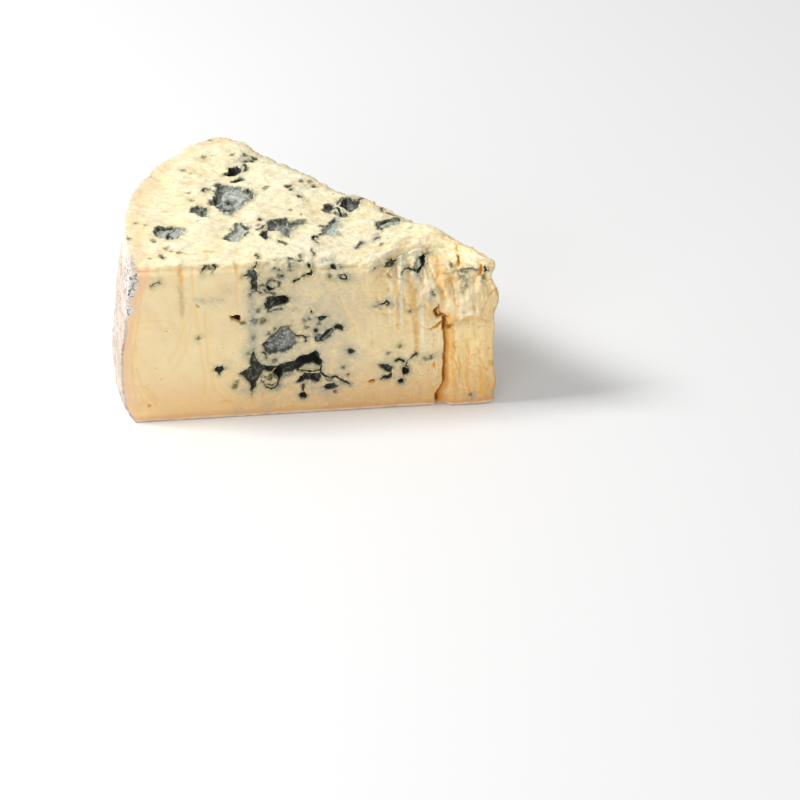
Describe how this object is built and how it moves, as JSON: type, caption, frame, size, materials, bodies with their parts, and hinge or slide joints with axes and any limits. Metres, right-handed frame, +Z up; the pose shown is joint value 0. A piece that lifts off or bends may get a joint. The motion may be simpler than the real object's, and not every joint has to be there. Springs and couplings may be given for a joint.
{
  "type": "blue cheese wedge",
  "caption": "Thick wedge of soft blue cheese with a pale bloomy rind, blue-grey mould pockets and veins, and a crack near its tip.",
  "frame": {"origin": "centre of the underside's bounding box", "axes": "+X along the long cut face from the rind to the tip, -Y out of the long cut face, +Z up"},
  "size_m": [0.151, 0.1136, 0.0712],
  "materials": {
    "paste": "moist satin cream-yellow paste with blue-grey mould and a white rind"
  },
  "bodies": {
    "root": {"cheese_wedge": "paste"}
  },
  "joints": []
}
